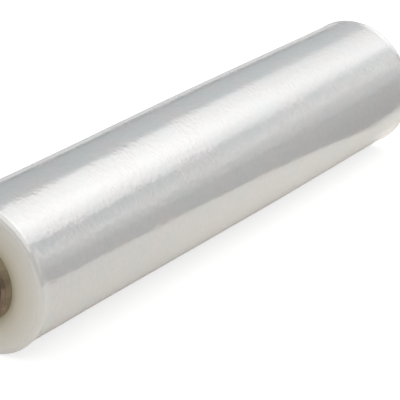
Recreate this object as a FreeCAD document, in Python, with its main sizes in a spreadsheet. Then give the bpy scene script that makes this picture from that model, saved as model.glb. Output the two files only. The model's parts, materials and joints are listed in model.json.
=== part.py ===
import FreeCAD, Part
import os
import Sketcher

# A hand roll of clear stretch film on its paper tube, lying on its side.
# The roll runs along X, rests on a small flat at z = 0 and has the origin under its middle.
# Lengths are in millimetres and angles in degrees.
SIZES = [
    ("film_width", 500.0),  # from one cut edge of the film to the other
    ("film_radius", 56.8),  # the nominal outside of the wound film
    ("core_bore", 51.0),  # the tube's inside diameter
    ("core_wall", 5.3),  # the tube's wall of glued paper plies
    ("core_proud", 6.0),  # how far the tube stands out of the film at each end
    ("core_break", 0.5),  # the worn corners of the tube's cut ends
    ("crest_place", 1.8),  # the crest of each bead, back from the film's end face
    ("neck_place", 6.2),  # the neck behind each bead, from the film's end
    ("shoulder_place", 25.0),  # the low hump after the neck of the near end
    ("waist_place", 75.0),  # the shallow waist of the near half
    ("belly_place", 300.0),  # the widest place of the crown, from the near end
    ("near_bead", 0.55),  # how far the near bead stands above the nominal radius
    ("near_neck", 0.6),  # how far the near neck lies below it
    ("shoulder_dip", 0.3),  # how far the hump still lies below it
    ("waist_dip", 0.6),  # how far the waist lies below it
    ("belly_rise", 0.4),  # how far the crown stands above it
    ("far_neck", 0.35),  # how far the far neck lies below it
    ("far_bead", 0.45),  # how far the far bead stands above it
    ("band_count", 5),  # bands of turns that show on each end face
    ("band_shrink", 0.85),  # each band's depth as a share of the one inside it
    ("band_lean", 0.25),  # how far a band leans out from its inner turn to its outer one
    ("tail_rise", 0.35),  # the height of the free edge over the turns below it
    ("tail_fade", 0.06),  # what is left of that height where the lap ends
    ("tail_edge_angle", -20.0),  # where the free edge lies at the back, up from level
    ("tail_sweep", 55.0),  # how far round the lap reaches, upwards from the edge
    ("tail_root", 1.5),  # how deep the lap is sunk in the turns that it clings to
    ("flat_depth", 0.12),  # how far the flat cuts in below the lowest neck or waist
]

doc = FreeCAD.newDocument("stretch_wrap_roll")
sheet = doc.addObject("Spreadsheet::Sheet", "sizes")
for row, (alias, number) in enumerate(SIZES, start=1):
    sheet.set(f"A{row}", alias)
    sheet.set(f"B{row}", str(number))
    sheet.setAlias(f"B{row}", alias)
doc.recompute()

# What follows from the sizes, as formulas that the sketches share.
OUTSIDE = "sizes.film_radius"
CORE_OUTSIDE = "(sizes.core_bore / 2 + sizes.core_wall)"
END = "(sizes.film_width / 2)"
FACE = "(sizes.film_width / 2 - sizes.band_lean)"
CREST = "(sizes.film_width / 2 - sizes.band_lean - sizes.crest_place)"
DEEPEST_DIP = "max(sizes.near_neck; sizes.waist_dip; sizes.far_neck)"
AXIS_HEIGHT = f"({OUTSIDE} - {DEEPEST_DIP} - sizes.flat_depth)"


def value(formula):
    """The number that a formula gives with the sheet's present sizes."""
    return float(sheet.evalExpression(formula))


class Outline:
    """A sketch on one of a body's planes, drawn edge by edge from points that are two formulas each."""

    def __init__(self, body, name, plane):
        self.sketch = body.newObject("Sketcher::SketchObject", name)
        support = [item for item in body.Origin.OriginFeatures if item.Role == plane]
        self.sketch.AttachmentSupport = support
        self.sketch.MapMode = "FlatFace"
        self.edges = []
        self.rules = []
        self.formulas = []

    def vector(self, point):
        return FreeCAD.Vector(value(point[0]), value(point[1]))

    def tie(self, geometry, end, point):
        """Ties one end of an edge to a point, measured from the sketch's origin."""
        for direction, formula in zip(("DistanceX", "DistanceY"), point):
            rule = Sketcher.Constraint(direction, -1, 1, geometry, end, value(formula))
            self.rules.append(rule)
            self.formulas.append(formula)

    def size(self, geometry, radius):
        """Ties the radius of an arc or a circle to a formula."""
        self.rules.append(Sketcher.Constraint("Radius", geometry, value(radius)))
        self.formulas.append(radius)

    def line(self, start, end):
        """A straight edge. Its start is left to the edge before it."""
        edge = self.sketch.addGeometry(Part.LineSegment(self.vector(start), self.vector(end)))
        self.tie(edge, 2, end)
        self.edges.append((edge, 1, 2))
        return edge

    def arc(self, start, middle, end, radius):
        """A round edge that starts out through the place middle."""
        first, last = self.vector(start), self.vector(end)
        edge = self.sketch.addGeometry(Part.Arc(first, self.vector(middle), last))
        # An arc is kept anticlockwise, so its own first end can be the last one here.
        own_first = self.sketch.getPoint(edge, 1)
        kept = own_first.distanceToPoint(first) < own_first.distanceToPoint(last)
        head, tail = (1, 2) if kept else (2, 1)
        self.tie(edge, tail, end)
        self.size(edge, radius)
        self.edges.append((edge, head, tail))

    def curl(self, start, end, level_first):
        """An arc that is level at its start, or else at its end."""
        run, rise = f"({end[0]} - ({start[0]}))", f"abs({end[1]} - ({start[1]}))"
        radius = f"({run} ^ 2 + {rise} ^ 2) / (2 * {rise})"
        gained = 0.25 if level_first else 0.75
        self.arc(start, between(start, end, 0.5, gained), end, radius)

    def flank(self, start, end):
        """Two arcs that leave start level, meet halfway and arrive at end level."""
        half_way = between(start, end, 0.5, 0.5)
        self.curl(start, half_way, True)
        self.curl(half_way, end, False)

    def circle(self, radius):
        """A whole circle about the sketch's origin."""
        middle, up = FreeCAD.Vector(), FreeCAD.Vector(0, 0, 1)
        edge = self.sketch.addGeometry(Part.Circle(middle, up, value(radius)))
        self.sketch.addConstraint(Sketcher.Constraint("Coincident", edge, 3, -1, 1))
        self.size(edge, radius)

    def axis(self, start, end):
        """A line that is no part of the outline, to turn it about."""
        edge = self.line(start, end)
        self.edges.pop()
        self.tie(edge, 1, start)
        self.sketch.setConstruction(edge, True)

    def finish(self):
        """Joins the edges end to end, all the way round, and binds every rule to its formula."""
        for before, after in zip(self.edges, self.edges[1:] + self.edges[:1]):
            joint = Sketcher.Constraint("Coincident", before[0], before[2], after[0], after[1])
            self.sketch.addConstraint(joint)
        numbers = self.sketch.addConstraint(self.rules)
        for number, formula in zip(numbers, self.formulas):
            self.sketch.setExpression(f"Constraints[{number}]", formula)
        return self.sketch


def between(start, end, across, up):
    """The point that lies the given shares of the way from start to end."""
    return (
        f"({start[0]} + {across} * ({end[0]} - ({start[0]})))",
        f"({start[1]} + {up} * ({end[1]} - ({start[1]})))",
    )


def body_profile(raised):
    """The high and low places along the film's outside, from the near bead to the far one."""
    return [
        (f"-{CREST}", f"{OUTSIDE} + sizes.near_bead + {raised}"),
        (f"sizes.neck_place - {END}", f"{OUTSIDE} - sizes.near_neck + {raised}"),
        (f"sizes.shoulder_place - {END}", f"{OUTSIDE} - sizes.shoulder_dip + {raised}"),
        (f"sizes.waist_place - {END}", f"{OUTSIDE} - sizes.waist_dip + {raised}"),
        (f"sizes.belly_place - {END}", f"{OUTSIDE} + sizes.belly_rise + {raised}"),
        (f"{END} - sizes.neck_place", f"{OUTSIDE} - sizes.far_neck + {raised}"),
        (f"{CREST}", f"{OUTSIDE} + sizes.far_bead + {raised}"),
    ]


def face_bands(side):
    """The corners of one end face, from the tube to the rim: each band of turns leans out, and a
    small step leads back to the next."""
    whole = "(1 - pow(sizes.band_shrink; sizes.band_count))"
    corners = [(f"{side}{FACE}", CORE_OUTSIDE)]
    for number in range(1, int(value("sizes.band_count")) + 1):
        share = f"(1 - pow(sizes.band_shrink; {number})) / {whole}"
        up = f"{CORE_OUTSIDE} + ({OUTSIDE} - {CORE_OUTSIDE}) * {share}"
        corners.append((f"{side}{END}", up))
        corners.append((f"{side}{FACE}", up))
    return corners


def draw_lines(outline, points):
    """Straight edges from each point to the next."""
    for start, end in zip(points, points[1:]):
        outline.line(start, end)


def wind_turns(body):
    """All the turns: half of their lengthwise section, turned once round the roll's axis."""
    outline = Outline(body, "film_section", "XZ_Plane")
    outside = body_profile("0")
    near = face_bands("-")
    far = face_bands("")
    draw_lines(outline, near)
    outline.curl(near[-1], outside[0], False)
    outline.flank(outside[0], outside[1])
    draw_lines(outline, outside[1:-1])
    outline.flank(outside[-2], outside[-1])
    outline.curl(outside[-1], far[-1], True)
    draw_lines(outline, far[::-1] + near[:1])
    turns = body.newObject("PartDesign::Revolution", "wound_turns")
    turns.Profile = outline.finish()
    turns.ReferenceAxis = (turns.Profile[0], ["H_Axis"])
    turns.Angle = 360


def lay_free_end(body):
    """The film's free end. The outside's own line, raised, is turned about an axis set a little
    towards it, so that the lap sinks into the turns below it as it goes round."""
    outline = Outline(body, "tail_section", "XZ_Plane")
    level = FreeCAD.Rotation(FreeCAD.Vector(1, 0, 0), 90)
    outline.sketch.AttachmentOffset = FreeCAD.Placement(FreeCAD.Vector(), level)
    # The plane's own up is the top of the roll, a quarter turn on from the level line at the back.
    turn = "(sizes.tail_edge_angle + 270) * 1 deg"
    outline.sketch.setExpression("AttachmentOffset.Rotation.Angle", turn)
    covered = body_profile("sizes.tail_rise")[1:-1]
    near = (covered[0][0], f"{OUTSIDE} - sizes.tail_root")
    far = (covered[-1][0], f"{OUTSIDE} - sizes.tail_root")
    draw_lines(outline, covered + [far, near, covered[0]])
    shift = "(sizes.tail_rise - sizes.tail_fade) / (1 - cos(sizes.tail_sweep * 1 deg))"
    outline.axis((near[0], shift), (far[0], shift))
    lap = body.newObject("PartDesign::Revolution", "free_end")
    lap.Profile = outline.finish()
    lap.ReferenceAxis = (lap.Profile[0], ["Axis0"])
    lap.setExpression("Angle", "sizes.tail_sweep * 1 deg")


def press_flat(body):
    """The small flat that the roll's own weight presses into its lowest turns."""
    outline = Outline(body, "flat_outline", "YZ_Plane")
    wide, low, high = f"{OUTSIDE} / 2", f"-1.5 * {OUTSIDE}", f"-{AXIS_HEIGHT}"
    corners = [(f"-{wide}", low), (wide, low), (wide, high), (f"-{wide}", high)]
    draw_lines(outline, corners + corners[:1])
    flat = body.newObject("PartDesign::Pocket", "resting_flat")
    flat.Profile = outline.finish()
    flat.Type = "ThroughAll"
    flat.SideType = "Symmetric"


def new_volume(body, before, grows):
    """Stops if the newest feature went the wrong way or left the body as it was."""
    doc.recompute()
    change = body.Shape.Volume - before
    print(f"{body.Label}: {body.Tip.Name} changes the volume by {change:.1f} mm3")
    if abs(change) < 1 or (change > 0) != grows:
        raise RuntimeError(f"{body.Tip.Name} points the wrong way")
    return body.Shape.Volume


def make_film():
    """The wound film, from the tube out: the turns, their free end, and the flat below."""
    body = doc.addObject("PartDesign::Body", "stretch_film")
    wind_turns(body)
    volume = new_volume(body, 0, True)
    lay_free_end(body)
    volume = new_volume(body, volume, True)
    press_flat(body)
    new_volume(body, volume, False)
    return body


def make_core():
    """The paper tube: a ring of plies, cut square with a knife, its cut corners a little worn."""
    body = doc.addObject("PartDesign::Body", "core_tube")
    outline = Outline(body, "ring", "YZ_Plane")
    outline.circle("sizes.core_bore / 2")
    outline.circle(CORE_OUTSIDE)
    tube = body.newObject("PartDesign::Pad", "tube")
    tube.Profile = outline.finish()
    tube.SideType = "Symmetric"
    tube.setExpression("Length", "sizes.film_width + 2 * sizes.core_proud")
    volume = new_volume(body, 0, True)
    reach = tube.Shape.BoundBox.XMax
    corners = []
    for number, edge in enumerate(tube.Shape.Edges, start=1):
        if edge.BoundBox.XLength < 0.001 and abs(edge.BoundBox.XMax) > reach - 0.001:
            corners.append(f"Edge{number}")
    worn = body.newObject("PartDesign::Chamfer", "worn_corners")
    worn.Base = (tube, corners)
    worn.setExpression("Size", "sizes.core_break")
    new_volume(body, volume, False)
    return body


pieces = [make_film(), make_core()]
for piece in pieces:
    piece.Label = piece.Name
    piece.setExpression("Placement.Base.z", AXIS_HEIGHT)
doc.recompute()

for item in doc.Objects:
    if "Invalid" in item.State or "Error" in item.State:
        raise RuntimeError(f"{item.Label} failed: {item.State}")
    if item.isDerivedFrom("Sketcher::SketchObject") and not item.FullyConstrained:
        raise RuntimeError(f"{item.Label} has a point that nothing ties")
for piece in pieces:
    if piece.Shape.isNull() or not piece.Shape.isValid() or len(piece.Shape.Solids) != 1:
        raise RuntimeError(f"{piece.Label} is not one valid solid")

os.makedirs("parts", exist_ok=True)
for piece in pieces:
    piece.Shape.exportStep(f"parts/{piece.Label}.step")
    box = piece.Shape.optimalBoundingBox()
    print(f"{piece.Label}: {box.XLength:.2f} x {box.YLength:.2f} x {box.ZLength:.2f} mm from z = {box.ZMin:.3f}")
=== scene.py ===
import json
from math import atan2, cos, radians, sin, tau

import bmesh
import bpy
from mathutils import Matrix, Vector, noise


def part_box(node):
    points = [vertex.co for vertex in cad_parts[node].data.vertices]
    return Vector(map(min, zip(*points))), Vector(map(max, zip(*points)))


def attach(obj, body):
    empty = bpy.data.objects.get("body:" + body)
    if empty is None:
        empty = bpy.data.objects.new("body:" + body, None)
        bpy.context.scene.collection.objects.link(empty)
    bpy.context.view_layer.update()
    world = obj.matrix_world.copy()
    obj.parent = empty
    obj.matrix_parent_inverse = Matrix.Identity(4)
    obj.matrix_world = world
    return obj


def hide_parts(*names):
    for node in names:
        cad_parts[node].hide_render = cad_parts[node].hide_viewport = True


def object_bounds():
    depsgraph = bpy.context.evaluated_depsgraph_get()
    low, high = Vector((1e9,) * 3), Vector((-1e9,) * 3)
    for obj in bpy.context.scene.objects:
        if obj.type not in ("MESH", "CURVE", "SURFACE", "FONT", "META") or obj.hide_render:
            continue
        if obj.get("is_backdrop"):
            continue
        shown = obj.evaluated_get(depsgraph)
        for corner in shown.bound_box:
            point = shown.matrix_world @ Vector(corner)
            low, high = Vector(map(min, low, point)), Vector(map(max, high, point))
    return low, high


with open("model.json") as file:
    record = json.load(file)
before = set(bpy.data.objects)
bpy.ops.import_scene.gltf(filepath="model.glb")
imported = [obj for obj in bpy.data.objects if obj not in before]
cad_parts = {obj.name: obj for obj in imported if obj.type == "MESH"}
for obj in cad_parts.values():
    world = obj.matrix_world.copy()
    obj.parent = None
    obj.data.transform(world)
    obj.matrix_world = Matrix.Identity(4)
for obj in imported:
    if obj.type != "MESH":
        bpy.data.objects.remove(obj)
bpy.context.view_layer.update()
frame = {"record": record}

# The paper tube that the film is wound on. It is a spiral of glued kraft plies, cut square with a knife, so
# each cut end shows its plies as rings. It is open right through, for a handle or a spindle.
TUBE_BORE = next(m for m in frame["record"]["mounts"] if m["name"] == "core_bore")
AXIS_HEIGHT = TUBE_BORE["pos_m"][2]
BORE_RADIUS = TUBE_BORE["dims"]["r_mm"] / 1000
TUBE_LOW, TUBE_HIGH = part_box("core_tube")
TUBE_RADIUS = TUBE_HIGH.z - AXIS_HEIGHT
PLY_COUNT = 4  # some nine plies of 0.6 mm, drawn coarser so that their rings show
PLY_UNEVEN = 0.00022  # how far one ply's cut edge stands behind another's
TUBE_COLUMNS = 96
BORE_ROWS = 64
SEAM_PITCH = 0.118  # how far the spiral seam moves on in one turn
SEAM_HALF_WIDTH = 0.0012
KRAFT, KRAFT_DARK, GLUE_LINE = "#8F8369", "#6F654E", "#4A3C2E"
# CUT_LINE is the pale of the torn fibres, and at the cut's outer edge a painted highlight too.
CUT_PLY, CUT_LINE = "#94796A", "#C2B194"
# In millimetres. Real fibres are a tenth of a millimetre wide, too fine to show, so they are drawn coarser.
FIBRE_SIZES, BLOTCH_SIZE = (3.8, 1.1, 1.1), 14.0


def linear(code):
    """The linear colour of a hex code, with full alpha."""
    shares = [int(code[n:n + 2], 16) / 255 for n in (1, 3, 5)]
    return [s / 12.92 if s <= 0.04045 else ((s + 0.055) / 1.055) ** 2.4 for s in shares] + [1.0]


def per_metre(*sizes):
    """How often a pattern of these sizes in millimetres repeats in a metre."""
    return tuple(1000 / size for size in sizes)


def adder(tree):
    """A function that adds a node to the tree, with its settings and the values or links of its inputs."""
    def add(kind, settings=None, **inputs):
        node = tree.nodes.new("ShaderNode" + kind)
        for key, setting in (settings or {}).items():
            setattr(node, key, setting)
        for key, source in inputs.items():
            place = int(key[1:]) if key[1:].isdigit() else key.replace("_", " ")
            socket = node.inputs[place]
            if isinstance(source, bpy.types.NodeSocket):
                tree.links.new(source, socket)
            else:
                socket.default_value = source
        return node
    return add


def new_material(name):
    """A material with its nodes, the function that adds to them and its Principled shader."""
    material = bpy.data.materials.new(name)
    material.use_nodes = True
    tree = material.node_tree
    return material, tree, adder(tree), tree.nodes["Principled BSDF"]


def piece_from(bm, name, *materials):
    """The finished mesh as an object at the origin that rides on the part's one body."""
    mesh = bpy.data.meshes.new(name)
    bm.to_mesh(mesh)
    bm.free()
    for material in materials:
        mesh.materials.append(material)
    piece = bpy.data.objects.new(name, mesh)
    bpy.context.scene.collection.objects.link(piece)
    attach(piece, "root")
    return piece


def chain(bm, points):
    """Vertices in the plane of the roll's axis, each joined to the next, for spinning about that axis."""
    corners = [bm.verts.new((x, radius, AXIS_HEIGHT)) for x, radius in points]
    return corners + [bm.edges.new(pair) for pair in zip(corners, corners[1:])]


def spun(bm, points, columns, start=0.0):
    """Spins a closed section once round the roll's axis, beginning at the angle start."""
    section = chain(bm, points + points[:1])
    centre = Vector((0, 0, AXIS_HEIGHT))
    turned = Matrix.Rotation(start, 3, "X")
    bmesh.ops.rotate(bm, cent=centre, matrix=turned, verts=bm.verts)
    bmesh.ops.spin(
        bm, geom=section, cent=centre, axis=(1, 0, 0), angle=tau, steps=columns, use_merge=True
    )
    bmesh.ops.remove_doubles(bm, verts=bm.verts, dist=1e-6)
    bmesh.ops.recalc_face_normals(bm, faces=bm.faces)


ply = (TUBE_RADIUS - BORE_RADIUS) / PLY_COUNT
noise.seed_set(11)
cut_edge = []
for number in range(PLY_COUNT):
    behind = PLY_UNEVEN * (0.5 + 0.5 * noise.noise(Vector((number * 1.7, 0.3, 0.8))))
    inner = BORE_RADIUS + ply * number
    cut_edge += [(behind + ply / 6, inner), (behind, inner + ply / 5), (behind, inner + ply * 4 / 5)]
cut_edge.append((cut_edge[-1][0] + ply / 6, TUBE_RADIUS))
near_cut = [(TUBE_LOW.x + behind, radius) for behind, radius in cut_edge]
far_cut = [(TUBE_HIGH.x - behind, radius) for behind, radius in reversed(cut_edge)]
bore_step = (far_cut[-1][0] - near_cut[0][0]) / BORE_ROWS
bore_line = [(far_cut[-1][0] - bore_step * row, BORE_RADIUS) for row in range(1, BORE_ROWS)]
bm = bmesh.new()
spun(bm, near_cut + far_cut + bore_line, TUBE_COLUMNS)
for face in bm.faces:
    face.smooth = True

# Spirally wound kraft paper, from brown pulp rolled flat and glued: matt and mottled with fibres, with a dark
# line of glue where one strip's edge meets the next, and pale torn fibres in rings where the knife cut it.
# The rings grow brightest at the outer edge, where the pale colour is a painted highlight of the cut's outer
# corner.
kraft, tree, add, shader = new_material("spiral_wound_kraft_paper")
place = add("TexCoord").outputs["Object"]
shader.inputs["Roughness"].default_value = 0.86
shader.inputs["IOR"].default_value = 1.45
centred = add("Mapping", l1=(0, 0, -AXIS_HEIGHT), Vector=place).outputs[0]
axes = add("SeparateXYZ", Vector=centred)
angle = add("Math", {"operation": "ARCTAN2"}, i0=axes.outputs[2], i1=axes.outputs[1]).outputs[0]
turns = add("Math", {"operation": "DIVIDE"}, i0=angle, i1=tau).outputs[0]
along = add("Math", {"operation": "MULTIPLY_ADD"}, i0=axes.outputs[0], i1=1 / SEAM_PITCH, i2=turns)
strip = add("Math", {"operation": "FRACT"}, i0=along.outputs[0]).outputs[0]
from_seam = add("Math", {"operation": "PINGPONG"}, i0=strip, i1=0.5).outputs[0]
seam = add(
    "MapRange", {"clamp": True}, Value=from_seam, i1=0.0, i2=SEAM_HALF_WIDTH / SEAM_PITCH, i3=1.0, i4=0.0
).outputs[0]
fibres = add("Mapping", l3=per_metre(*FIBRE_SIZES), Vector=place).outputs[0]
fibres = add("TexNoise", Vector=fibres, Scale=1.0, Detail=4.0, Roughness=0.6).outputs[0]
blotches = add("TexNoise", Vector=place, Scale=per_metre(BLOTCH_SIZE)[0], Detail=3.0).outputs[0]
mottle = add("Math", {"operation": "MULTIPLY_ADD"}, i0=fibres, i1=0.6, i2=blotches).outputs[0]
mottle = add("MapRange", Value=mottle, i1=0.6, i2=1.05).outputs[0]
paper = add("Mix", {"data_type": "RGBA"}, i0=mottle, i6=linear(KRAFT_DARK), i7=linear(KRAFT)).outputs[2]
flat_place = add("CombineXYZ", Y=axes.outputs[1], Z=axes.outputs[2]).outputs[0]
radius = add("VectorMath", {"operation": "LENGTH"}, Vector=flat_place).outputs["Value"]
ply_place = add(
    "MapRange", {"clamp": False}, Value=radius, i1=BORE_RADIUS, i2=TUBE_RADIUS, i3=0.0, i4=float(PLY_COUNT)
).outputs[0]
pale_rings_and_highlight = add("Math", {"operation": "PINGPONG"}, i0=ply_place, i1=0.5).outputs[0]
pale_rings_and_highlight = add("MapRange", Value=pale_rings_and_highlight, i1=0.04, i2=0.2, i3=1.0, i4=0.0).outputs[0]
# The rings are full strength only at the outer edge: there they are a painted highlight of the cut's corner.
outer_ply = PLY_COUNT - 0.6, PLY_COUNT - 0.2
outer = add("MapRange", Value=ply_place, i1=outer_ply[0], i2=outer_ply[1], i3=0.35, i4=1.0).outputs[0]
pale_rings_and_highlight = add("Math", {"operation": "MULTIPLY"}, i0=pale_rings_and_highlight, i1=outer).outputs[0]
facing = add("SeparateXYZ", Vector=add("TexCoord").outputs["Normal"]).outputs[0]
on_cut = add("Math", {"operation": "ABSOLUTE"}, i0=facing).outputs[0]
on_cut = add("MapRange", Value=on_cut, i1=0.6, i2=0.9).outputs[0]
pale_rings_and_highlight = add("Math", {"operation": "MULTIPLY"}, i0=pale_rings_and_highlight, i1=on_cut).outputs[0]
dark = add("Math", {"operation": "MULTIPLY"}, i0=seam, i1=0.6).outputs[0]
paper = add("Mix", {"data_type": "RGBA"}, i0=dark, i6=paper, i7=linear(GLUE_LINE)).outputs[2]
wet = add("Mix", {"data_type": "RGBA"}, i0=mottle, i6=linear(GLUE_LINE), i7=linear(CUT_PLY)).outputs[2]
cut = add("Mix", {"data_type": "RGBA"}, i0=pale_rings_and_highlight, i6=wet, i7=linear(CUT_LINE)).outputs[2]
tone = add("Mix", {"data_type": "RGBA"}, i0=on_cut, i6=paper, i7=cut).outputs[2]
tree.links.new(tone, shader.inputs["Base Color"])
sunk = add("Math", {"operation": "MULTIPLY_ADD"}, i0=seam, i1=-0.5, i2=fibres).outputs[0]
bump = add("Bump", Strength=0.5, Distance=0.0003, Height=sunk)
tree.links.new(bump.outputs[0], shader.inputs["Normal"])

tube = piece_from(bm, "paper_tube", kraft)
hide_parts("core_tube")

# The wound film: some three hundred metres of clear cling film, each turn pulled tight over the last. The
# winder's edges build up into a bead at both ends, with a neck beside it, and the width between them sags and
# swells a little. The free end clings to the back.
FILM_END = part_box("stretch_film")[1].x
FILM_RADIUS = 0.0568  # the nominal outside of the wound film
PROFILE = [  # from crest to crest: the distance from the near end, and the height over the nominal radius
    (0.0036, 0.00053),
    (0.0110, -0.0002),
    (0.025, -0.0003),
    (0.075, -0.0006),
    (0.300, 0.0004),
    (0.4938, -0.00035),
    (0.4976, 0.0001),
]
CREST_RADIUS = FILM_RADIUS + PROFILE[0][1]  # the near bead, the widest place of the roll
END_STRETCH, END_STEP = 0.0085, 0.0005  # the beads and necks take close rows
ROW_STEP = 0.00112
FILM_COLUMNS = 160
BAND_COUNT, BAND_SHRINK, BAND_LEAN = 5, 0.85, 0.0001
RINGS_A_BAND = 5
RIM_DEPTHS, RIM_STEPS = (0.0050, 0.0026), 14  # how far in from the crest the rounding of each rim begins
LIP_RISE, LIP_STEP = 0.00035, 3  # one turn of film that stands out in a thin line round the rim
TAIL_EDGE, TAIL_SWEEP = radians(-20), radians(55)
TAIL_RISE = 0.00035
TAIL_CUT = radians(0.12)  # how far round the cut edge itself reaches
WAVES = [  # height, then length along the roll and round it, all in millimetres
    (0.18, 90.0, 70.0),
    (0.14, 42.0, 17.0),
    (0.04, 25.0, 12.5),
]
# In millimetres too. The turns that the rings stand for are 0.023 mm thick, so the rings are drawn coarser.
FINE_WRINKLES, CROSS_WRINKLES = (2.1, 5.0, 5.0), (3.8, 4.5, 4.5)
WRINKLE_LEANS = (5.0, 4.0), (-7.0, -6.0)  # how far each set is turned about the other two axes, in degrees
WRINKLE_DEPTH = 0.00025
HAZE_SIZE = 26.0
RING_WIDTH, RING_DEPTH = 1.1, 0.00004
# The near neck is this much shallower on top and deeper below, which has worn off this far from the end. Each
# of the two sets in and is full between the heights of its pair, given in radii over the axis.
NECK_FILL, FILL_END = 0.00045, 0.055
FILL_HEIGHTS, DEEP_HEIGHTS = (0.25, 0.75), (-0.3, -0.7)
SLANT = 0.12  # how far the waves lean from a plane square to the axis
WAVES_APART = 50  # keeps the two leans of a wave from sharing one noise
CALM_REACH, CALM_SHARE = 0.02, 0.25  # how far from each end the waves die down, and what is left of them
CREASE = radians(28)  # edges sharper than this stay sharp
MILKY, MILKY_CORE = "#D1CFCA", "#B8B09D"
FILM_LIGHT, FILM_DARK, FILM_RIM = "#BEBDBB", "#B3B3B1", "#CCCBC7"
HAZE_COOL, HAZE_WARM = "#B4B9BA", "#BDB8B9"
RIM_REACHES = 0.0060, 0.0035  # how far in from the near and the far end the film is milky
EDGE_REACHES = 0.00035, 0.0008  # how far the cut edges of the turns reach round the rim
RIM_COAT = 0.3  # how glossy the milky rim is, next to the clear film


def eased(share):
    """A share from 0 to 1 that starts and ends gently."""
    share = min(1, max(0, share))
    return share * share * (3 - 2 * share)


def rise_at(along):
    """How far the outside stands above the nominal radius, eased between the places of the profile."""
    for (start, low), (end, high) in zip(PROFILE, PROFILE[1:]):
        if along <= end:
            return low + (high - low) * eased((along - start) / (end - start))
    return PROFILE[-1][1]


def spaced(start, end, step):
    """Places from start up to end, as evenly as whole steps allow."""
    count = round(abs(end - start) / step)
    return [start + (end - start) * n / count for n in range(count)]


near_crest, far_crest = PROFILE[0][0], PROFILE[-1][0]
rows = spaced(near_crest, near_crest + END_STRETCH, END_STEP)
rows += spaced(near_crest + END_STRETCH, far_crest - END_STRETCH, ROW_STEP)
rows += spaced(far_crest - END_STRETCH, far_crest, END_STEP) + [far_crest]
outside = [(along - FILM_END, FILM_RADIUS + rise_at(along)) for along in rows]
ends = []
whole = 1 - BAND_SHRINK ** BAND_COUNT
crests = (near_crest, PROFILE[0][1]), (2 * FILM_END - far_crest, PROFILE[-1][1])
for (crest, rise), rim in zip(crests, RIM_DEPTHS):
    flat_edge = FILM_RADIUS + rise - rim
    face = []
    for band in range(BAND_COUNT):
        inner, outer = ((1 - BAND_SHRINK ** n) / whole for n in (band, band + 1))
        for ring in range(RINGS_A_BAND):
            share = inner + (outer - inner) * ring / RINGS_A_BAND
            depth = BAND_LEAN * (1 - ring / RINGS_A_BAND)
            face.append((depth, TUBE_RADIUS + (flat_edge - TUBE_RADIUS) * share))
    for step in range(RIM_STEPS):
        turned = tau / 4 * step / RIM_STEPS
        out = LIP_RISE if step == LIP_STEP else 0
        depth = crest - (crest + out) * cos(turned)
        face.append((depth, flat_edge + (rim + out) * sin(turned)))
    ends.append([(max(depth, 0), radius) for depth, radius in face])
near_face = [(depth - FILM_END, radius) for depth, radius in ends[0]]
far_face = [(FILM_END - depth, radius) for depth, radius in reversed(ends[1])]
bm = bmesh.new()
spun(bm, near_face + outside + far_face, FILM_COLUMNS, TAIL_EDGE)

centre = Vector((0, 0, AXIS_HEIGHT))
behind = [f for f in bm.faces if f.calc_center_median().y > 0]
at_back = set(behind)
behind_edges = [e for e in bm.edges if not at_back.isdisjoint(e.link_faces)]
behind_verts = [v for v in bm.verts if not at_back.isdisjoint(v.link_faces)]
near_edge = TAIL_EDGE - TAIL_CUT
bmesh.ops.bisect_plane(
    bm,
    geom=behind + behind_edges + behind_verts,
    dist=1e-7,
    plane_co=centre,
    plane_no=(0, -sin(near_edge), cos(near_edge)),
)

neck, far_neck = PROFILE[1][0], PROFILE[5][0]
noise.seed_set(29)
for vert in bm.verts:
    arm = vert.co - centre
    arm.x = 0
    along = vert.co.x + FILM_END
    if not near_crest < along < far_crest:
        vert.co.z = max(vert.co.z, 0)
        continue
    lift = 0
    for height, *lengths in WAVES:
        fine, slow = per_metre(*lengths)
        for lean in (SLANT, -SLANT):
            leaned = vert.co.x + lean * arm.z
            spot = Vector((fine * leaned, slow * arm.y, slow * arm.z + lean * WAVES_APART))
            lift += height / 2000 * noise.noise(spot)  # two noises share the height, and it is in millimetres
    free = min(1, along / CALM_REACH, (2 * FILM_END - along) / CALM_REACH)
    lift *= CALM_SHARE + (1 - CALM_SHARE) * free
    upper = eased((arm.z / arm.length - FILL_HEIGHTS[0]) / (FILL_HEIGHTS[1] - FILL_HEIGHTS[0]))
    filled = eased((along - near_crest) / (neck - near_crest)) * eased((FILL_END - along) / (FILL_END - neck))
    lower = eased((arm.z / arm.length - DEEP_HEIGHTS[0]) / (DEEP_HEIGHTS[1] - DEEP_HEIGHTS[0]))
    lift += NECK_FILL * (upper - lower) * filled
    turned = (atan2(arm.z, arm.y) - TAIL_EDGE + TAIL_CUT / 2) % tau - TAIL_CUT / 2
    if turned < TAIL_SWEEP and neck < along < far_neck:
        lift += TAIL_RISE * (1 - turned / TAIL_SWEEP) ** 0.5
    reach = min(arm.length + lift, CREST_RADIUS)
    vert.co += arm.normalized() * (reach - arm.length)
    vert.co.z = max(vert.co.z, 0)
for edge in bm.edges:
    edge.smooth = edge.calc_face_angle(0) < CREASE
for face in bm.faces:
    face.smooth = True
    reach = EDGE_REACHES[0] if face.calc_center_median().x < 0 else EDGE_REACHES[1]
    face.material_index = 1 if all(abs(v.co.x) > FILM_END - reach for v in face.verts) else 0

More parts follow.
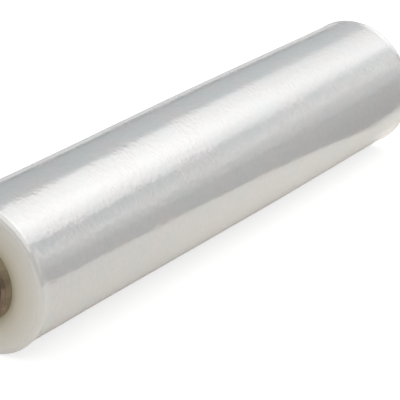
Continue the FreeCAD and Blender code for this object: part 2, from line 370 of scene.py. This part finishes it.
# Blown polyethylene film, stretched as it is wound. Its outermost turns mirror the room in long bands, which
# fine wrinkles round the roll break up, and hundreds of turns below scatter the light to a pale grey haze.
film, tree, add, shader = new_material("wound_polyethylene_film")
place = add("TexCoord").outputs["Object"]
shader.inputs["IOR"].default_value = 1.51
shader.inputs["Coat IOR"].default_value = 2.3
shader.inputs["Coat Roughness"].default_value = 0.06
wrinkles = []
for (about_y, about_z), lengths in zip(WRINKLE_LEANS, (FINE_WRINKLES, CROSS_WRINKLES)):
    lean = (0, radians(about_y), radians(about_z))
    leaned = add("Mapping", l2=lean, l3=per_metre(*lengths), Vector=place).outputs[0]
    wrinkles.append(add("TexNoise", Vector=leaned, Scale=1.0, Detail=2.0, Roughness=0.55).outputs[0])
streaks = add("Math", {"operation": "ADD"}, i0=wrinkles[0], i1=wrinkles[1]).outputs[0]
tint = add("MapRange", Value=streaks, i1=0.75, i2=1.25).outputs[0]
tone = add("Mix", {"data_type": "RGBA"}, i0=tint, i6=linear(FILM_DARK), i7=linear(FILM_LIGHT)).outputs[2]
haze = add("TexNoise", Vector=place, Scale=per_metre(HAZE_SIZE)[0], Detail=2.0).outputs[0]
patchy = add("MapRange", Value=haze, i1=0.35, i2=0.62, i3=0.35, i4=1.0).outputs[0]
haze = add("MapRange", Value=haze, i1=0.35, i2=0.65).outputs[0]
haze = add("Mix", {"data_type": "RGBA"}, i0=haze, i6=linear(HAZE_COOL), i7=linear(HAZE_WARM)).outputs[2]
tone = add("Mix", {"data_type": "RGBA"}, i0=0.5, i6=tone, i7=haze).outputs[2]
along = add("SeparateXYZ", Vector=place).outputs[0]
near_milk = add("MapRange", Value=along, i1=RIM_REACHES[0] - FILM_END, i2=EDGE_REACHES[0] - FILM_END)
far_milk = add("MapRange", Value=along, i1=FILM_END - RIM_REACHES[1], i2=FILM_END - EDGE_REACHES[1])
both_ends = near_milk.outputs[0], far_milk.outputs[0]
milk = add("Math", {"operation": "MAXIMUM"}, i0=both_ends[0], i1=both_ends[1]).outputs[0]
tone = add("Mix", {"data_type": "RGBA"}, i0=milk, i6=tone, i7=linear(FILM_RIM)).outputs[2]
coat = add("MapRange", Value=milk, i1=0.5, i3=1.0, i4=RIM_COAT).outputs[0]
tree.links.new(coat, shader.inputs["Coat Weight"])
tree.links.new(tone, shader.inputs["Base Color"])
rough = add("MapRange", Value=wrinkles[1], i1=0.3, i2=0.7, i3=0.3, i4=0.42).outputs[0]
tree.links.new(rough, shader.inputs["Roughness"])
height = add("Math", {"operation": "SUBTRACT"}, i0=streaks, i1=1.0).outputs[0]
height = add("Math", {"operation": "MULTIPLY"}, i0=height, i1=patchy).outputs[0]
bump = add("Bump", Strength=1.0, Distance=WRINKLE_DEPTH, Height=height)
tree.links.new(bump.outputs[0], shader.inputs["Normal"])
tree.links.new(bump.outputs[0], shader.inputs["Coat Normal"])

# The slit edges of the same film, stacked some thousand turns deep: milky and matt, since light is lost
# between them, darker and yellower towards the tube, with faint rings where the winder's pull changed.
edges, tree, add, shader = new_material("stacked_film_edges")
place = add("TexCoord").outputs["Object"]
shader.inputs["Roughness"].default_value = 0.42
shader.inputs["IOR"].default_value = 1.51
axes = add("SeparateXYZ", Vector=add("Mapping", l1=(0, 0, -AXIS_HEIGHT), Vector=place).outputs[0])
flat_place = add("CombineXYZ", Y=axes.outputs[1], Z=axes.outputs[2]).outputs[0]
radius = add("VectorMath", {"operation": "LENGTH"}, Vector=flat_place).outputs["Value"]
depth = add("MapRange", Value=radius, i1=TUBE_RADIUS, i2=FILM_RADIUS).outputs[0]
depth = add("Math", {"operation": "POWER"}, i0=depth, i1=0.75).outputs[0]
tone = add("Mix", {"data_type": "RGBA"}, i0=depth, i6=linear(MILKY_CORE), i7=linear(MILKY)).outputs[2]
rings = add(
    "TexNoise", {"noise_dimensions": "1D"}, W=radius, Scale=per_metre(RING_WIDTH)[0], Detail=3.0
).outputs[0]
shade = add("MapRange", Value=rings, i1=0.3, i2=0.7, i3=0.98, i4=1.015).outputs[0]
grey = add("CombineColor", i0=shade, i1=shade, i2=shade).outputs[0]
tone = add("Mix", {"data_type": "RGBA", "blend_type": "MULTIPLY"}, i0=1.0, i6=tone, i7=grey).outputs[2]
tree.links.new(tone, shader.inputs["Base Color"])
bump = add("Bump", Strength=0.4, Distance=RING_DEPTH, Height=rings)
tree.links.new(bump.outputs[0], shader.inputs["Normal"])

wound = piece_from(bm, "wound_film", film, edges)
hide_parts("stretch_film")

# The studio: a cream sheet that ends beside the roll, on a darker table, under one big soft lamp that hangs
# over the roll and beyond its far end. The camera sees both floors as white, with the roll's shadow on them.
FLOOR_HALF = 6.0
SHEET_EDGES = [  # two points of each straight part of the sheet's near edge
    (Vector((-0.050, -0.237, 0)), Vector((0.177, -0.116, 0))),
    (Vector((0.250, -0.077, 0)), Vector((0.700, -0.165, 0))),
]
SHEET_TONE, TABLE_TONE = "#F0ECE5", "#8E8E8E"
SHEET_BACK = 0.10  # how far the sheet reaches behind the roll
SEEN_TONE, SEEN_CLEAR = "#969696", 0.76  # what brings the floor up to white for the camera
# A painted glow of the floor that only the film's gloss sees, on the sheet up to the roll and on the table
# behind: how strong it is at first and at last, and between which places it grows.
SHEET_GLOW, BACK_GLOW = (0.02, 0.18), (0.26, 0.55)
SHEET_RUN, BACK_RUN = (-0.2, -0.03), (SHEET_BACK, 1.2)
LAMP_PLACE = Vector((1.20, -0.325, AXIS_HEIGHT + 1.0))
LAMP_SIZE = (2.60, 1.85)
LAMP_TINT = (1.0, 0.977, 0.95)
LAMP_WATTS = 38.5
LAMP_EDGES = [  # a direction over the cloth, then where along it the light begins and where it is full
    ((1, 0, 0), -0.10, 0.10),
    ((0.13, -1, 0), -0.41, -0.26),
    ((0, 1, 0), -1.25, -1.10),
    ((-1, 0.945, 0), -2.57, -2.27),
]
LAMP_HEART = (0.75, -0.33)  # where the cloth is brightest
LAMP_FADED = (0.44, 0.40)  # how bright it still is half a lamp away from there, along and across the roll
BACK_WALL = [  # how high a direction points, and the colour that the room has there
    (0.0, (0.75, 0.75, 0.75)),
    (0.050, (0.75, 0.75, 0.75)),
    (0.068, (0.01, 0.01, 0.01)),
    (0.13, (0.02, 0.02, 0.02)),
    (0.19, (0.30, 0.33, 0.36)),
    (0.30, (0.20, 0.25, 0.29)),
    (0.45, (0.18, 0.23, 0.26)),
    (0.60, (0.22, 0.25, 0.27)),
    (0.74, (0.34, 0.36, 0.38)),
    (0.80, (0.40, 0.40, 0.40)),
]
FRONT_WALL = [
    (0.0, (0.50, 0.52, 0.53)),
    (0.04, (0.54, 0.56, 0.57)),
    (0.07, (0.66, 0.68, 0.68)),
    (0.12, (0.64, 0.65, 0.65)),
    (0.165, (0.72, 0.72, 0.71)),
    (0.19, (1.10, 1.07, 1.03)),
    (0.205, (1.38, 1.35, 1.30)),
    (0.26, (1.30, 1.29, 1.26)),
    (0.31, (0.84, 0.88, 0.92)),
    (0.40, (0.74, 0.78, 0.82)),
    (0.46, (0.42, 0.45, 0.49)),
    (0.74, (0.42, 0.45, 0.49)),
    (0.80, (0.40, 0.40, 0.40)),
]
RAIL_RISE = 0.8  # how steeply the front wall's rail runs up towards the far end
RAIL_FOOT = 0.1, 0.2  # the heights between which that rise sets in
NEAR_WALL = [
    (0.0, (0.27, 0.27, 0.27)),
    (0.45, (0.27, 0.27, 0.27)),
    (0.60, (1.95, 1.95, 1.95)),
    (1.0, (1.95, 1.95, 1.95)),
]
SIDE_CORNER, NEAR_CORNER = (-0.1, 0.1), (0.1, -0.2)  # where front wall turns to back wall, and far to near

bm = bmesh.new()
bmesh.ops.create_grid(bm, x_segments=1, y_segments=1, size=FLOOR_HALF)
# Matt cream paper on a painted grey table: no gloss, so the film is lit from below in a warm tone with an
# edge to it, and a painted glow that only the film's gloss sees grows on the sheet towards the roll and on
# the table far behind. The floor shows white to the camera and keeps the roll's shadow.
ground, tree, add, shader = new_material("cream_sheet_on_table")
tree.nodes.remove(shader)
place = add("TexCoord").outputs["Object"]
on_sheet = 0.0
for start, end in SHEET_EDGES:
    across = Vector((start.y - end.y, end.x - start.x, 0)).normalized()
    inside = add("VectorMath", {"operation": "DOT_PRODUCT"}, i0=place, i1=across).outputs["Value"]
    inside = add("Math", {"operation": "GREATER_THAN"}, i0=inside, i1=across.dot(start)).outputs[0]
    on_sheet = add("Math", {"operation": "MAXIMUM"}, i0=on_sheet, i1=inside).outputs[0]
back = add("SeparateXYZ", Vector=place).outputs[1]
in_front = add("Math", {"operation": "LESS_THAN"}, i0=back, i1=SHEET_BACK).outputs[0]
on_sheet = add("Math", {"operation": "MULTIPLY"}, i0=on_sheet, i1=in_front).outputs[0]
ray = add("LightPath").outputs
straight = add("Math", {"operation": "MAXIMUM"}, i0=ray["Is Camera Ray"], i1=ray["Is Transmission Ray"])
straight = straight.outputs[0]
tones = linear(TABLE_TONE), linear(SHEET_TONE)
tone = add("Mix", {"data_type": "RGBA"}, i0=on_sheet, i6=tones[0], i7=tones[1]).outputs[2]
tone = add("Mix", {"data_type": "RGBA"}, i0=straight, i6=tone, i7=linear(SEEN_TONE)).outputs[2]
matt = add("BsdfDiffuse", Color=tone).outputs[0]
at_back = add("Math", {"operation": "SUBTRACT"}, i0=1.0, i1=in_front).outputs[0]
# The painted glow of the floor, for glossy rays only.
glows = []
for (begins, ends), (low, high), share in (
    (SHEET_RUN, SHEET_GLOW, on_sheet),
    (BACK_RUN, BACK_GLOW, at_back),
):
    grown = add("MapRange", Value=back, i1=begins, i2=ends, i3=low, i4=high).outputs[0]
    glows.append(add("Math", {"operation": "MULTIPLY"}, i0=grown, i1=share).outputs[0])
glow = add("Math", {"operation": "ADD"}, i0=glows[0], i1=glows[1]).outputs[0]
glow = add("Math", {"operation": "MULTIPLY"}, i0=glow, i1=ray["Is Glossy Ray"]).outputs[0]
clear = add("Math", {"operation": "MULTIPLY_ADD"}, i0=straight, i1=SEEN_CLEAR, i2=glow).outputs[0]
clear = add("Emission", Strength=clear).outputs[0]
both = add("AddShader", i0=matt, i1=clear).outputs[0]
tree.links.new(both, tree.nodes["Material Output"].inputs["Surface"])
mesh = bpy.data.meshes.new("floor")
bm.to_mesh(mesh)
bm.free()
mesh.materials.append(ground)
floor = bpy.data.objects.new("floor", mesh)
bpy.context.scene.collection.objects.link(floor)
floor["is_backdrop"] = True

data = bpy.data.lights.new("softbox", "AREA")
data.shape = "RECTANGLE"
data.size, data.size_y = LAMP_SIZE
data.energy = LAMP_WATTS
data.color = LAMP_TINT
data.use_nodes = True
cloth = data.node_tree
add = adder(cloth)
spot = add("NewGeometry").outputs["Position"]
power = 1.0
for direction, begins, full in LAMP_EDGES:
    reached = add("VectorMath", {"operation": "DOT_PRODUCT"}, i0=spot, i1=direction).outputs["Value"]
    share = add("MapRange", i0=reached, i1=begins, i2=full).outputs[0]
    power = add("Math", {"operation": "MULTIPLY"}, i0=power, i1=share).outputs[0]
split = add("SeparateXYZ", i0=spot).outputs
for output, heart, faded in zip(split, LAMP_HEART, LAMP_FADED):
    away = add("Math", {"operation": "SUBTRACT"}, i0=output, i1=heart).outputs[0]
    away = add("Math", {"operation": "ABSOLUTE"}, i0=away).outputs[0]
    share = add("MapRange", i0=away, i2=LAMP_SIZE[1] / 2, i3=1.0, i4=faded).outputs[0]
    power = add("Math", {"operation": "MULTIPLY"}, i0=power, i1=share).outputs[0]
cloth.links.new(power, cloth.nodes["Emission"].inputs["Strength"])
softbox = bpy.data.objects.new("softbox", data)
softbox.location = LAMP_PLACE
softbox.visible_camera = False
bpy.context.scene.collection.objects.link(softbox)

CAMERA_AHEAD = Vector((0.7443, 0.5367, -0.3976))
world = bpy.data.worlds.new("studio")
bpy.context.scene.world = world
world.use_nodes = True
tree = world.node_tree
add = adder(tree)
split = add("SeparateXYZ", i0=add("TexCoord").outputs["Generated"]).outputs
walls = []
ahead = RAIL_RISE * CAMERA_AHEAD.x
tilt = add("Math", {"operation": "MULTIPLY_ADD"}, i0=split[0], i1=-RAIL_RISE, i2=ahead).outputs[0]
off_floor = add("MapRange", i0=split[2], i1=RAIL_FOOT[0], i2=RAIL_FOOT[1]).outputs[0]
tilt = add("Math", {"operation": "MULTIPLY"}, i0=tilt, i1=off_floor).outputs[0]
raised = add("Math", i0=split[2], i1=tilt).outputs[0]
for stops, height in ((BACK_WALL, split[2]), (FRONT_WALL, raised), (NEAR_WALL, split[2])):
    wall = add("ValToRGB", i0=height)
    for at, colour in stops[1:-1]:
        wall.color_ramp.elements.new(at)
    for element, (at, colour) in zip(wall.color_ramp.elements, stops):
        element.position, element.color = at, colour + (1,)
    walls.append(wall.outputs[0])
side = add("MapRange", i0=split[1], i1=SIDE_CORNER[0], i2=SIDE_CORNER[1]).outputs[0]
room = add("Mix", {"data_type": "RGBA"}, i0=side, i6=walls[1], i7=walls[0]).outputs[2]
near = add("MapRange", i0=split[0], i1=NEAR_CORNER[0], i2=NEAR_CORNER[1]).outputs[0]
room = add("Mix", {"data_type": "RGBA"}, i0=near, i6=room, i7=walls[2]).outputs[2]
ray = add("LightPath").outputs
straight = add("Math", {"operation": "MAXIMUM"}, i0=ray["Is Camera Ray"], i1=ray["Is Transmission Ray"])
seen = add("Mix", {"data_type": "RGBA"}, i0=straight.outputs[0], i6=room, i7=(1, 1, 1, 1)).outputs[2]
tree.links.new(seen, tree.nodes["Background"].inputs["Color"])

# The camera, where the photograph was taken from: beyond the near end, to the front and above. Its long lens
# stands well back, so the far end of the roll looks nearly as large as the near one.
CAMERA_PLACE = Vector((-1.0577, -0.7713, 0.5949))
CAMERA_LENS, CAMERA_SENSOR = 160.0, 36.0
data = bpy.data.cameras.new("camera")
data.lens, data.sensor_width = CAMERA_LENS, CAMERA_SENSOR
camera = bpy.data.objects.new("camera", data)
camera.location = CAMERA_PLACE
camera.rotation_mode = "QUATERNION"
camera.rotation_quaternion = CAMERA_AHEAD.to_track_quat("-Z", "Y")
bpy.context.scene.collection.objects.link(camera)
bpy.context.scene.camera = camera
bpy.context.scene.view_settings.view_transform = "Standard"

low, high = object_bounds()
